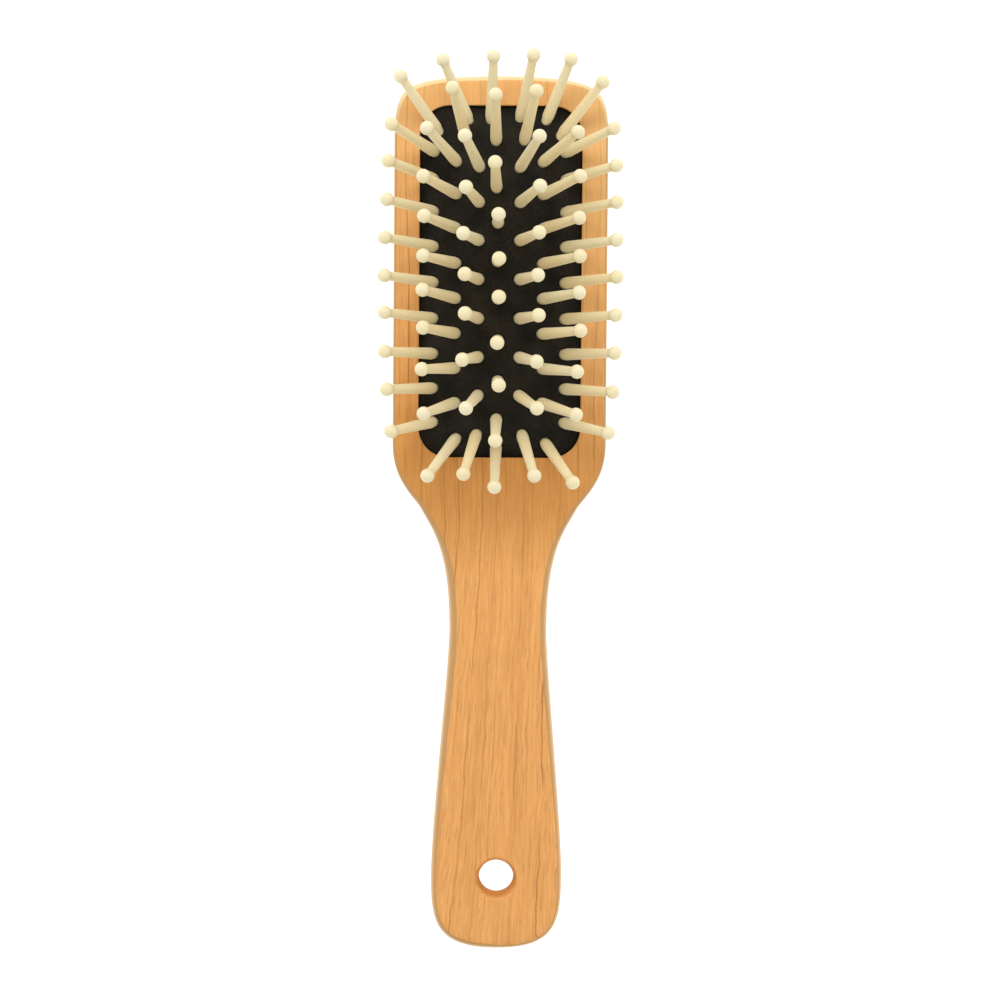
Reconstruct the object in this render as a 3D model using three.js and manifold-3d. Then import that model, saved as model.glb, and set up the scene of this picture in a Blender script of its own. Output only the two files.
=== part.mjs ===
// A wooden paddle hair brush with turned wooden pins in a domed rubber air cushion.
//
// The brush lies on its back. Millimetres, +Z up out of the bristle side, +Y towards the toe (the free end of
// the head), the handle towards -Y. The origin is on the flat back face, under the middle of the cushion.
//
// The pieces: one board of solid wood with a pocket and a hanging hole, one rubber cushion whose bead sits in
// a groove round the pocket, and 69 pins that are trapped in the cushion by a foot. Under the cushion the
// pocket holds only air. The eight pins of the centre column, and the five of the heel row, are joined by a
// thin rail between their feet.
import * as THREE from "three";
import { mergeVertices } from "three/addons/utils/BufferGeometryUtils.js";
import Module from "manifold-3d";

const wasm = await Module();
wasm.setup();

// ---- Board ----
const BOARD_THICKNESS = 11;
const TOE_Y = 51.6; // the head's free end
const HEEL_Y = -168.4; // the handle's end, so the board is 220 long
const HEAD_HALF_WIDTH = 26.85;
const NECK_HALF_WIDTH = 12.25; // the narrowest place of the handle
const NECK_Y = -87.7;
const GRIP_HALF_WIDTH = 16.5; // the widest place of the handle
const GRIP_Y = -149.8;
const HEAD_ROUND = 0.9; // rounding of the board's long edges at the head
const TOE_ROUND = 1.5; // and at its free end
const HANDLE_ROUND = 2.3; // and along the handle
const ROUND_STEPS = 3;

// ---- Hanging hole ----
const HOLE_Y = -150.5;
const HOLE_RADIUS = 4.4;
const HOLE_FLARE = 1.2; // its rims are rounded over by this much sideways
const HOLE_FLARE_DEPTH = 3.5; // and this deep
const HOLE_SIDES = 32;

// ---- Pocket for the cushion ----
const POCKET_HALF_X = 20.35;
const POCKET_HALF_Y = 44.1;
const POCKET_CORNER = 7.5;
const POCKET_DEPTH = 7;
const LIP = 0.9; // wood left above the bead's groove
const GROOVE_HEIGHT = 2.1;
const GROOVE_REACH = 1.6; // how far the groove goes under the lip

// ---- Cushion ----
const FIT_GAP = 0.3; // free space between touching pieces
const DOME_HEIGHT = 6;
const DOME_POWER_X = 2.2; // how square the dome is across the head
const DOME_POWER_Y = 5; // and along it
const SKIN = 1.6; // thickness of the rubber
const BEAD_WIDTH = 1.7; // from the edge of the visible dome inwards
const DOME_RINGS = [0.94, 0.84, 0.7, 0.5, 0.26]; // from the edge to the middle
const CORNER_STEPS = 6;
const SIDE_STEPS_X = 4;
const SIDE_STEPS_Y = 9;

// ---- Pins ----
const PIN_SIDES = 8;
const FOOT_RADIUS = 1.9;
const FOOT_TOP = -2.7; // along the pin's axis, from where it leaves the rubber
const FOOT_THICKNESS = 0.8;
const WAIST_RADIUS = 1.3; // where the rubber grips the pin
const SHAFT_RADIUS = 1.5;
const NECK_RADIUS = 1.13; // under the ball
const BALL_RADIUS = 1.75;
const PIN_LENGTH = 19;
const PIN_HOLE_RADIUS = 1.9;
const PIN_HOLE_SIDES = 6;
const RAIL_WIDTH = 1.4;
const RAIL_HEIGHT = 1.2;
const RAIL_DROP = 3.1; // from the dome's outer face to the top of a rail

// Where the pins stand. A column runs along the head, a row across it.
const PATTERN_X = -0.3; // the middle of the pattern
const OUTER = { x: 16.6, toe: 32.5, heel: -35.3, count: 9, crowd: 18 }; // crowd: towards the toe
const MIDDLE = { x: 10.9, toe: 29.9, heel: -30.4, count: 8, crowd: 4.6 };
const INNER = { x: 5.1, toe: 28.4, heel: -28.5, count: 7, crowd: 6.5 };
// In the centre column each pin has its x, y and lean towards the toe, in a row its x, y and sideways lean.
const CENTRE_COLUMN = [
  [-1, 35.2, 34],
  [-0.8, 23.2, 17],
  [-0.4, 14.4, 3],
  [-0.4, 4.9, -2],
  [-0.3, -4.4, -2],
  [-0.3, -14.9, -2],
  [-0.2, -25, -3],
  [-0.5, -34.4, -18],
];
const TOE_ROW = [
  [-15.9, 38.2, -31],
  [-8.2, 40.9, -20],
  [-2.3, 40.9, 1],
  [5.1, 41.4, 9],
  [11.8, 41, 18],
  [15.7, 37.3, 34],
];
const TOE_SECOND_ROW = [
  [-8.6, 36, -10],
  [6.1, 35.4, 8],
];
const HEEL_ROW = [
  [-10.7, -39.5, -23],
  [-5.5, -38.4, -10],
  [-0.5, -41.2, 0],
  [6, -38.4, 9],
  [12, -40.6, 23],
];

// How the pins fan out, in degrees.
const FAN_PER_MM = 2.62; // sideways, for each mm from the middle
const FAN_SIDE_BIAS = 2; // all of them to the right
const FAN_TOE = { most: 61, power: 3 }; // lengthwise, at FAN_Y
const FAN_HEEL = { most: 33, power: 2.2 };
const FAN_Y = 41;
const FAN_OUTWARD = 0.39; // by which the outer columns lean less lengthwise
const FAN_LIFT_PER_MM = 0.41; // towards the toe, for each mm from the middle
const FAN_LIFT_REACH = 10.7; // no more beyond this
const TOE_ROW_FAN = 55;
const TOE_SECOND_ROW_FAN = 39;
const HEEL_ROW_FAN = -35;
const SCATTER = 1.3; // by which hand-set pins differ

const degrees = Math.PI / 180;

// ---- Small helpers ----

function smooth(from, to, value) {
  return THREE.MathUtils.smoothstep(value, from, to);
}

// A geometry as a solid, with the vertices of neighbouring faces merged.
function toSolid(geometry) {
  const corners = geometry.index ? geometry.toNonIndexed() : geometry;
  const bare = new THREE.BufferGeometry();
  bare.setAttribute("position", corners.getAttribute("position"));
  const merged = mergeVertices(bare, 1e-4);
  return new wasm.Manifold(
    new wasm.Mesh({
      numProp: 3,
      vertProperties: new Float32Array(merged.getAttribute("position").array),
      triVerts: new Uint32Array(merged.index.array),
    }),
  );
}

function toGeometry(solid) {
  const mesh = solid.getMesh();
  const geometry = new THREE.BufferGeometry();
  geometry.setAttribute("position", new THREE.BufferAttribute(new Float32Array(mesh.vertProperties), 3));
  geometry.setIndex(new THREE.BufferAttribute(new Uint32Array(mesh.triVerts), 1));
  return geometry;
}

// Rings of equally many points, joined in order by a skin. Each end is closed by a flat cap or, where the end
// is a single point, by a fan.
function loft(rings) {
  const positions = [];
  const push = (...points) => points.forEach((p) => positions.push(p.x, p.y, p.z));
  for (let r = 0; r + 1 < rings.length; r++) {
    const low = rings[r];
    const high = rings[r + 1];
    const count = Math.max(low.length, high.length);
    for (let i = 0; i < count; i++) {
      const j = (i + 1) % count;
      if (low.length === 1) push(low[0], high[j], high[i]);
      else if (high.length === 1) push(low[i], low[j], high[0]);
      else push(low[i], low[j], high[j], low[i], high[j], high[i]);
    }
  }
  const cap = (ring, up) => {
    if (ring.length === 1) return;
    for (const [a, b, c] of THREE.ShapeUtils.triangulateShape(ring, [])) {
      if (up) push(ring[a], ring[b], ring[c]);
      else push(ring[a], ring[c], ring[b]);
    }
  };
  cap(rings[0], false);
  cap(rings.at(-1), true);
  const geometry = new THREE.BufferGeometry();
  geometry.setAttribute("position", new THREE.Float32BufferAttribute(positions, 3));
  return geometry;
}

// ---- Board ----

// One long edge of the board, from the middle of the toe round to the middle of the heel, at +X.
function edgeCurves() {
  const point = (x, y) => new THREE.Vector2(x, y);
  const toe = point(18.8, TOE_Y - 1.4);
  const sideStart = point(HEAD_HALF_WIDTH, TOE_Y - 14.4);
  const sideEnd = point(HEAD_HALF_WIDTH, -40.8);
  const shoulder = point(19.5, -57.3);
  const neck = point(NECK_HALF_WIDTH, NECK_Y);
  const grip = point(GRIP_HALF_WIDTH, GRIP_Y);
  const bezier = (a, b, c, d) => new THREE.CubicBezierCurve(a, b, c, d);
  return [
    [bezier(point(0, TOE_Y), point(6, TOE_Y), point(14.5, TOE_Y - 0.3), toe), 5],
    [bezier(toe, point(24.3, TOE_Y - 2.8), point(HEAD_HALF_WIDTH, TOE_Y - 4.5), sideStart), 10],
    [new THREE.LineCurve(sideStart, sideEnd), 4],
    [bezier(sideEnd, point(HEAD_HALF_WIDTH, -50.3), point(21.1, -54.3), shoulder), 9],
    [bezier(shoulder, point(16.8, -62.4), point(NECK_HALF_WIDTH, -67.1), neck), 9],
    [bezier(neck, point(NECK_HALF_WIDTH, -97), point(GRIP_HALF_WIDTH, -136.5), grip), 9],
    [bezier(grip, point(GRIP_HALF_WIDTH, -161.3), point(15.8, HEEL_Y), point(0, HEEL_Y)), 12],
  ];
}

// The board's whole outline, counter-clockwise, as points with their outward normals.
function boardOutline() {
  const right = [];
  for (const [curve, steps] of edgeCurves()) {
    for (let i = 0; i < steps; i++) {
      const p = curve.getPoint(i / steps);
      const t = curve.getTangent(i / steps);
      right.push({ x: p.x, y: p.y, nx: -t.y, ny: t.x });
    }
  }
  right.push({ x: 0, y: HEEL_Y, nx: 0, ny: -1 });
  right[0] = { x: 0, y: TOE_Y, nx: 0, ny: 1 };
  const left = right.slice(1, -1).map((p) => ({ x: -p.x, y: p.y, nx: -p.nx, ny: p.ny }));
  return [...left, right.at(-1), ...right.slice(0, -1).reverse()];
}

// How far the long edges are rounded over at a place along the board.
function edgeRound(y) {
  const toe = THREE.MathUtils.lerp(HEAD_ROUND, TOE_ROUND, smooth(36, 50, y));
  return THREE.MathUtils.lerp(toe, HANDLE_ROUND, smooth(42, 76, -y));
}

function boardBlank() {
  const outline = boardOutline();
  const ring = (inset, height) =>
    outline.map((p) => {
      const r = edgeRound(p.y);
      return new THREE.Vector3(p.x - p.nx * inset * r, p.y - p.ny * inset * r, height(r));
    });
  const rings = [];
  for (let k = 0; k <= ROUND_STEPS; k++) {
    const a = (k / ROUND_STEPS) * (Math.PI / 2);
    rings.push(ring(1 - Math.sin(a), (r) => r * (1 - Math.cos(a))));
  }
  for (let k = 0; k <= ROUND_STEPS; k++) {
    const a = (k / ROUND_STEPS) * (Math.PI / 2);
    rings.push(ring(1 - Math.cos(a), (r) => BOARD_THICKNESS - r * (1 - Math.sin(a))));
  }
  return toSolid(loft(rings));
}

// A rectangle with round corners, grown or shrunk by an offset, counter-clockwise.
function pocketOutline(offset) {
  const radius = POCKET_CORNER + offset;
  const cx = POCKET_HALF_X - POCKET_CORNER;
  const cy = POCKET_HALF_Y - POCKET_CORNER;
  const points = [];
  const corners = [[cx, cy], [-cx, cy], [-cx, -cy], [cx, -cy]];
  corners.forEach(([x, y], quarter) => {
    const turn = (quarter * Math.PI) / 2;
    for (let i = 0; i <= CORNER_STEPS; i++) {
      const a = turn + (i / CORNER_STEPS) * (Math.PI / 2);
      points.push(new THREE.Vector2(x + radius * Math.cos(a), y + radius * Math.sin(a)));
    }
    const [nextX, nextY] = corners[(quarter + 1) % 4];
    const steps = quarter % 2 ? SIDE_STEPS_Y : SIDE_STEPS_X;
    const start = points.at(-1).clone();
    const run = new THREE.Vector2(nextX - x, nextY - y);
    for (let i = 1; i < steps; i++) points.push(start.clone().addScaledVector(run, i / steps));
  });
  return points;
}

function prism(outline, from, to) {
  const at = (z) => outline.map((p) => new THREE.Vector3(p.x, p.y, z));
  return toSolid(loft([at(from), at(to)]));
}

function circle(radius, sides, x = 0, y = 0) {
  return Array.from({ length: sides }, (_, i) => {
    const a = ((i + 0.5) / sides) * Math.PI * 2;
    return new THREE.Vector2(x + radius * Math.cos(a), y + radius * Math.sin(a));
  });
}

// The hanging hole as a solid: a bore that widens in a rounding at both faces.
function hangingHole() {
  const flare = [0, 30, 60, 90].map((a) => [
    HOLE_RADIUS + HOLE_FLARE * (1 - Math.sin(a * degrees)),
    HOLE_FLARE_DEPTH * (1 - Math.cos(a * degrees)),
  ]);
  const back = [[flare[0][0], -1], ...flare];
  const front = back.map(([r, z]) => [r, BOARD_THICKNESS - z]).reverse();
  const disc = ([r, z]) => circle(r, HOLE_SIDES, 0, HOLE_Y).map((p) => new THREE.Vector3(p.x, p.y, z));
  return toSolid(loft([...back, ...front].map(disc)));
}

function board() {
  const grooveTop = BOARD_THICKNESS - LIP;
  const pocket = prism(pocketOutline(0), BOARD_THICKNESS - POCKET_DEPTH, BOARD_THICKNESS + 1);
  const groove = prism(pocketOutline(GROOVE_REACH), grooveTop - GROOVE_HEIGHT, grooveTop);
  return boardBlank().subtract(pocket).subtract(groove).subtract(hangingHole());
}

// ---- Cushion ----

const BEAD_TOP = BOARD_THICKNESS - LIP - FIT_GAP;
const BEAD_BOTTOM = BOARD_THICKNESS - LIP - GROOVE_HEIGHT + FIT_GAP;
const DOME_HALF_X = POCKET_HALF_X - FIT_GAP;
const DOME_HALF_Y = POCKET_HALF_Y - FIT_GAP;

// Height of the rubber's outer face.
function domeHeight(x, y) {
  const across = 1 - Math.min(1, Math.abs(x) / DOME_HALF_X) ** DOME_POWER_X;
  const along = 1 - Math.min(1, Math.abs(y) / DOME_HALF_Y) ** DOME_POWER_Y;
  return BEAD_TOP + DOME_HEIGHT * across * along;
}

// What a pin takes out of the rubber: a bore, and room for its foot.
function pinHole() {
  const bore = prism(circle(PIN_HOLE_RADIUS, PIN_HOLE_SIDES), FOOT_TOP, 3);
  const foot = circle(FOOT_RADIUS + 1.8 * FIT_GAP, PIN_HOLE_SIDES);
  return bore.add(prism(foot, FOOT_TOP - FOOT_THICKNESS - FIT_GAP, FOOT_TOP + FIT_GAP));
}

function cushion(pins) {
  const flat = (outline, z) => outline.map((p) => new THREE.Vector3(p.x, p.y, z));
  const edge = pocketOutline(-FIT_GAP);
  const inner = pocketOutline(-FIT_GAP - BEAD_WIDTH);
  const bead = pocketOutline(GROOVE_REACH - FIT_GAP);
  const onDome = (outline, scale, drop) =>
    outline.map((p) => {
      const x = p.x * scale;
      const y = p.y * scale;
      return new THREE.Vector3(x, y, domeHeight(x, y) - drop);
    });
  const middle = (drop) => [new THREE.Vector3(0, 0, domeHeight(0, 0) - drop)];
  const underside = [...DOME_RINGS.slice(1)].reverse().map((u) => onDome(edge, u, SKIN));
  const skin = loft([
    middle(SKIN),
    ...underside,
    flat(inner, BEAD_TOP - SKIN / 2),
    flat(inner, BEAD_BOTTOM),
    flat(bead, BEAD_BOTTOM),
    flat(bead, BEAD_TOP),
    flat(edge, BEAD_TOP),
    ...DOME_RINGS.map((u) => onDome(edge, u, 0)),
    middle(0),
  ]);
  const room = pinHole();
  return wasm.Manifold.difference([toSolid(skin), ...pins.map((pin) => room.transform(pin.matrix.elements))]);
}

// ---- Pins ----

// Profile of a turned pin from the foot to the tip, as radius and height.
function pinProfile() {
  const ball = PIN_LENGTH - BALL_RADIUS;
  const onBall = (a) => [BALL_RADIUS * Math.cos(a * degrees), ball + BALL_RADIUS * Math.sin(a * degrees)];
  return [
    [0, FOOT_TOP - FOOT_THICKNESS],
    [FOOT_RADIUS, FOOT_TOP - FOOT_THICKNESS],
    [FOOT_RADIUS, FOOT_TOP],
    [WAIST_RADIUS, FOOT_TOP + 0.4],
    [SHAFT_RADIUS, 0.4],
    [NECK_RADIUS, ball - BALL_RADIUS],
    onBall(-25),
    onBall(20),
    onBall(62),
    [0, PIN_LENGTH],
  ];
}

function pinGeometry() {
  const profile = pinProfile().map(([r, z]) => new THREE.Vector2(r, z));
  const pin = new THREE.LatheGeometry(profile, PIN_SIDES, Math.PI / PIN_SIDES);
  return pin.rotateX(Math.PI / 2);
}

// A repeatable number from -1 to 1 for the pin at a place.
function scatter(x, y, salt) {
  const n = Math.sin(x * 12.9898 + y * 78.233 + salt * 37.719) * 43758.5453;
  return 2 * (n - Math.floor(n)) - 1;
}

// How far a pin leans along the head, in degrees, towards the toe.
function lengthwiseFan(x, y) {
  const { most, power } = y > 0 ? FAN_TOE : FAN_HEEL;
  const inwards = 1 - FAN_OUTWARD * (x / OUTER.x) ** 2;
  const lift = FAN_LIFT_PER_MM * Math.min(Math.abs(x), FAN_LIFT_REACH);
  return Math.sign(y) * most * Math.abs(y / FAN_Y) ** power * inwards + lift;
}

// And sideways, to the right.
function sidewaysFan(x, y) {
  return FAN_PER_MM * (1 - 0.3 * (y / FAN_Y) ** 4) * x + FAN_SIDE_BIAS;
}

// Where a pin leaves the rubber, and the direction it points in. x is from the middle of the pattern.
function pinAt(name, x, y, sideways = sidewaysFan(x, y), lengthwise = lengthwiseFan(x, y)) {
  const right = (sideways + SCATTER * scatter(x, y, 1)) * degrees;
  const toeward = (lengthwise + SCATTER * scatter(x, y, 2)) * degrees;
  const direction = new THREE.Vector3(
    Math.sin(right),
    Math.cos(right) * Math.sin(toeward),
    Math.cos(right) * Math.cos(toeward),
  );
  const seat = new THREE.Vector3(x + PATTERN_X, y, domeHeight(x + PATTERN_X, y));
  const turn = new THREE.Quaternion().setFromUnitVectors(new THREE.Vector3(0, 0, 1), direction);
  const matrix = new THREE.Matrix4().compose(seat, turn, new THREE.Vector3(1, 1, 1));
  return { name, seat, turn, matrix };
}

// The pins of a row, numbered from the left.
function rowPins(label, row, lengthwise) {
  return row.map(([x, y, sideways], i) => pinAt(`${label}_${i + 1}`, x, y, sideways, lengthwise));
}

function columnPlaces({ x, toe, heel, count, crowd }) {
  return Array.from({ length: count }, (_, i) => {
    const u = i / (count - 1);
    return [x, toe + (heel - toe) * u + crowd * u * (1 - u) ** 3];
  });
}

// The pins that are pieces of their own, by column and row, numbered from the toe or from the left.
function singlePins() {
  const pins = [];
  for (const [label, column] of Object.entries({ outer: OUTER, middle: MIDDLE, inner: INNER })) {
    for (const [side, sign] of [["left", -1], ["right", 1]]) {
      columnPlaces(column).forEach(([x, y], i) => {
        pins.push(pinAt(`pin_${side}_${label}_${i + 1}`, sign * x, y));
      });
    }
  }
  pins.push(...rowPins("pin_toe", TOE_ROW, TOE_ROW_FAN));
  pins.push(...rowPins("pin_toe_second", TOE_SECOND_ROW, TOE_SECOND_ROW_FAN));
  return pins;
}

// A rail under the dome through the feet of a row of pins. along is 0 where it runs along X and 1 along Y.
function rail(pins, along) {
  const foot = FOOT_TOP - FOOT_THICKNESS / 2;
  const feet = pins.map((pin) => new THREE.Vector3(0, 0, foot).applyMatrix4(pin.matrix));
  const start = Math.min(...feet.map((f) => f.getComponent(along)));
  const end = Math.max(...feet.map((f) => f.getComponent(along)));
  const other = feet.reduce((sum, f) => sum + f.getComponent(1 - along), 0) / feet.length;
  const steps = 10;
  const section = (u) => {
    const s = THREE.MathUtils.lerp(start, end, u);
    const place = (offset, drop) => {
      const x = along ? other + offset : s;
      const y = along ? s : other + offset;
      const top = domeHeight(along ? other : s, along ? s : other) - RAIL_DROP;
      return new THREE.Vector3(x, y, top - drop);
    };
    const half = RAIL_WIDTH / 2;
    const ring = [place(-half, 0), place(-half, RAIL_HEIGHT), place(half, RAIL_HEIGHT), place(half, 0)];
    return along ? ring.reverse() : ring;
  };
  const rings = Array.from({ length: steps + 1 }, (_, i) => section(i / steps));
  return railSolid(rings);
}

// A bar through four-cornered sections, closed at both ends.
function railSolid(rings) {
  const positions = [];
  const push = (...points) => points.forEach((p) => positions.push(p.x, p.y, p.z));
  for (let r = 0; r + 1 < rings.length; r++) {
    for (let i = 0; i < 4; i++) {
      const j = (i + 1) % 4;
      push(rings[r][i], rings[r][j], rings[r + 1][j], rings[r][i], rings[r + 1][j], rings[r + 1][i]);
    }
  }
  const [a, b, c, d] = rings[0];
  push(a, c, b, a, d, c);
  const [e, f, g, h] = rings.at(-1);
  push(e, f, g, e, g, h);
  const geometry = new THREE.BufferGeometry();
  geometry.setAttribute("position", new THREE.Float32BufferAttribute(positions, 3));
  return toSolid(geometry);
}

function joinedPins(pins, along) {
  const solids = pins.map((pin) => toSolid(pinGeometry()).transform(pin.matrix.elements));
  return wasm.Manifold.union([rail(pins, along), ...solids]);
}

// ---- Materials ----
const wood = new THREE.MeshStandardMaterial({ color: 0xe2a366, roughness: 0.5, metalness: 0 });
const paleWood = new THREE.MeshStandardMaterial({ color: 0xe9dcae, roughness: 0.55, metalness: 0 });
const rubber = new THREE.MeshStandardMaterial({ color: 0x24221e, roughness: 0.75, metalness: 0 });

// ---- Assembly ----
function named(name, geometry, material) {
  const mesh = new THREE.Mesh(geometry, material);
  mesh.name = name;
  return mesh;
}

const brush = new THREE.Group();
const singles = singlePins();
const centreColumn = CENTRE_COLUMN.map(([x, y, toeward], i) => pinAt(`centre_${i + 1}`, x, y, 0, toeward));
const heelRow = rowPins("heel", HEEL_ROW, HEEL_ROW_FAN);

brush.add(named("board", toGeometry(board()), wood));
brush.add(named("cushion", toGeometry(cushion([...singles, ...centreColumn, ...heelRow])), rubber));
for (const pin of singles) {
  const mesh = named(pin.name, pinGeometry(), paleWood);
  mesh.position.copy(pin.seat);
  mesh.quaternion.copy(pin.turn);
  brush.add(mesh);
}
brush.add(named("pins_centre_column", toGeometry(joinedPins(centreColumn, 1)), paleWood));
brush.add(named("pins_heel_row", toGeometry(joinedPins(heelRow, 0)), paleWood));

export default brush;
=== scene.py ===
"""A wooden paddle hair brush: one solid board, a domed rubber air cushion and 69 turned wooden pins.

Shapes are worked out in millimetres in the frame of the CAD model, and become metres where a mesh is made.
"""

import math

import bpy
import numpy as np
from mathutils import Matrix, Vector
from mathutils.geometry import delaunay_2d_cdt


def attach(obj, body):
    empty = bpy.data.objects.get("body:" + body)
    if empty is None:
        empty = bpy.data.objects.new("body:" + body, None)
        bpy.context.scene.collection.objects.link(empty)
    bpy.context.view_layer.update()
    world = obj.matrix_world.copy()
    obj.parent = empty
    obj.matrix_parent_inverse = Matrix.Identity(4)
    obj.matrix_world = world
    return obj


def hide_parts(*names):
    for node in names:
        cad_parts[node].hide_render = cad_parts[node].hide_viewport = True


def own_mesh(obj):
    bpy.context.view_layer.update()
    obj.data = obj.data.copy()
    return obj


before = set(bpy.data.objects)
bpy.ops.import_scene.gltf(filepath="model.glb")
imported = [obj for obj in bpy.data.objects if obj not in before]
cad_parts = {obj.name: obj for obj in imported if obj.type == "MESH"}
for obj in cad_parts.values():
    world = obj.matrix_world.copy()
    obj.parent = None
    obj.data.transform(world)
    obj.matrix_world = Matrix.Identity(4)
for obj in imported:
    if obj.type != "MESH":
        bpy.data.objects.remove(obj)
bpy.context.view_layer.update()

MM = 0.001  # metres in a millimetre

# ---- Board ----
THICKNESS = 11.0
TOE_Y = 51.6
HEEL_Y = -168.4
HEAD_HALF_WIDTH = 26.85
NECK_HALF_WIDTH = 12.25
NECK_Y = -87.7
GRIP_HALF_WIDTH = 16.5
GRIP_Y = -149.8
HEAD_ROUND = 0.9  # rounding of the long edges at the head, at its free end and along the handle
TOE_ROUND = 1.5
HANDLE_ROUND = 2.3
ROUND_STEPS = 9
STRIP = 0.12  # a narrow flat border keeps the shading of a flat face level

HOLE_Y = -150.5
HOLE_RADIUS = 4.4
HOLE_FLARE = 1.2  # its rims are rounded over by this much sideways, and this deep
HOLE_FLARE_DEPTH = 3.5
HOLE_SIDES = 96
HOLE_STEPS = 12
SHARP_WOOD = 40  # in degrees: the least angle that stays a crease

# ---- Pocket ----
POCKET_HALF_X = 20.35
POCKET_HALF_Y = 44.1
POCKET_CORNER = 7.5
POCKET_FLOOR = 4.0
GROOVE_TOP = 10.1
GROOVE_BOTTOM = 8.0
GROOVE_REACH = 1.6
LIP_ROUND = 0.28  # rounding of the pocket's front edge
LIP_STEPS = 4
LIP_EDGE_SHADING = 0.3  # the most painted edge light and shade on it
CORNER_STEPS = 12
SIDE_STEPS_X = 14
SIDE_STEPS_Y = 40

# ---- Cushion ----
FIT_GAP = 0.3  # free space between the rubber and the wood
BEAD_TOP = 9.8
BEAD_BOTTOM = 8.3
BEAD_WIDTH = 1.7
BEAD_CHAMFER = 0.4
EDGE_LIFT = 0.02  # keeps the dome's edge off the bead's flat top
BEAD_LEAST = 0.25  # least height of the bead's inner side
DOME_HALF_X = POCKET_HALF_X - FIT_GAP
DOME_HALF_Y = POCKET_HALF_Y - FIT_GAP
DOME_HEIGHT = 6.0
DOME_POWER_X = 2.2
DOME_POWER_Y = 5.0
RUBBER_THICKNESS = 1.2
SHARP_RUBBER = 50
GRID = 1.3  # spacing of the cushion's mesh
ROW_SPACING = 0.866  # and of its rows, as a share of that
UNDER_GRID = 2.6  # on the underside, which no one sees
GRID_CLEARANCE = 0.5  # between its points and all others
UNDER_CLEARANCE = 0.6
COLLAR_EDGE_CLEARANCE = 0.35
COLLAR_HOLE_CLEARANCE = 0.2
COLLAR_SPACING = 0.22
HOLE_RING_SIDES = 24
COLLAR_SIDES = 18
COLLARS = [(0.28, 0.16), (0.62, 0.1), (1.1, 0.02)]  # round each pin: distance from the hole's edge, height
RIM_LIFT = 0.4  # the hole's edge stands up by this share of the first collar's height
FIT_STEPS = 12  # steps in which a hole's points are moved onto the rubber
FIT_SHARE = 0.8  # part of the remaining way that each step goes
LEAST_UPRIGHT = 0.5  # no step is made longer than for a pin that stands this upright

# ---- Pins ----
PIN_SIDES = 24
PIN_LENGTH = 19.0
FOOT_END = -4.1  # the foot reaches this far below the rubber's face
BALL_RADIUS = 1.75
SHAFT_RADIUS = 1.5
NECK_RADIUS = 1.13
HOLE_CLEARANCE = 0.1  # between a pin and the hole in the rubber
TAPER_START = 1.0  # the shaft tapers from here to the neck
NECK_DROP = 2.2  # the neck is this far below the middle of the ball
BALL_START = -44  # in degrees: where the ball's outline starts and where it ends, just short of the tip
BALL_END = 84
SHARP_PIN = 60

PATTERN_X = -0.3  # the middle of the pattern
OUTER = dict(x=16.6, toe=32.5, heel=-35.3, count=9, crowd=18)
MIDDLE = dict(x=10.9, toe=29.9, heel=-30.4, count=8, crowd=4.6)
INNER = dict(x=5.1, toe=28.4, heel=-28.5, count=7, crowd=6.5)
# In the centre column each pin has its x, y and lean towards the toe, in a row its x, y and sideways lean.
CENTRE_COLUMN = [(-1, 35.2, 34), (-0.8, 23.2, 17), (-0.4, 14.4, 3), (-0.4, 4.9, -2),
                 (-0.3, -4.4, -2), (-0.3, -14.9, -2), (-0.2, -25, -3), (-0.5, -34.4, -18)]
TOE_ROW = [(-15.9, 38.2, -31), (-8.2, 40.9, -20), (-2.3, 40.9, 1),
           (5.1, 41.4, 9), (11.8, 41, 18), (15.7, 37.3, 34)]
TOE_SECOND_ROW = [(-8.6, 36, -10), (6.1, 35.4, 8)]
HEEL_ROW = [(-10.7, -39.5, -23), (-5.5, -38.4, -10), (-0.5, -41.2, 0), (6, -38.4, 9), (12, -40.6, 23)]

# All leans are in degrees.
FAN_PER_MM = 2.62  # sideways, for each mm from the middle
FAN_FADE = 0.3  # by which that is less at FAN_Y
FAN_FADE_POWER = 4
FAN_SIDE_BIAS = 2.0  # all of them to the right
FAN_TOE = (61, 3)  # lengthwise at FAN_Y, and the power it grows with
FAN_HEEL = (33, 2.2)
FAN_Y = 41.0
FAN_OUTWARD = 0.39  # by which the outer columns lean less lengthwise
FAN_LIFT_PER_MM = 0.41  # towards the toe, for each mm from the middle
FAN_LIFT_REACH = 10.7  # no more beyond this
TOE_ROW_FAN = 55
TOE_SECOND_ROW_FAN = 39
HEEL_ROW_FAN = -35
SCATTER = 1.3  # the most by which a pin differs from the rule

# ---- Camera ----
CAMERA_AT = (0.21, -34.7, 711.0)
CAMERA_LOOKS_AT = (0.31, -54.8, 11.0)
CAMERA_ROLL = math.radians(0.42)
CAMERA_LENS = 100.2
SENSOR_WIDTH = 36
NEAR_CLIP = 0.05

# ---- Studio, in metres ----
FLOOR_HALF = 3
FLOOR_Z = -0.0002
WALL_RADIUS = 2.9
WALL_TOP = 0.7
WALL_SIDES = 96
LIGHTS_LOOK_AT = (0, -0.05, 0)
AMBIENT = 0.56


def smooth(low, high, value):
    """From 0 at the low end to 1 at the high end, with soft ends."""
    t = np.clip((value - low) / (high - low), 0, 1)
    return t * t * (3 - 2 * t)


# ---- Mesh building ----


def inside_loops(points, corners, edges):
    """For each point, whether an odd number of the loops made by the edges go round it."""
    odd = np.zeros(len(points), bool)
    x, y = points[:, 0], points[:, 1]
    for (ax, ay), (bx, by) in corners[edges]:
        if ay != by:
            crosses = ((ay > y) != (by > y)) & (x < (bx - ax) * (y - ay) / (by - ay) + ax)
            odd ^= crosses
    return odd


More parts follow.
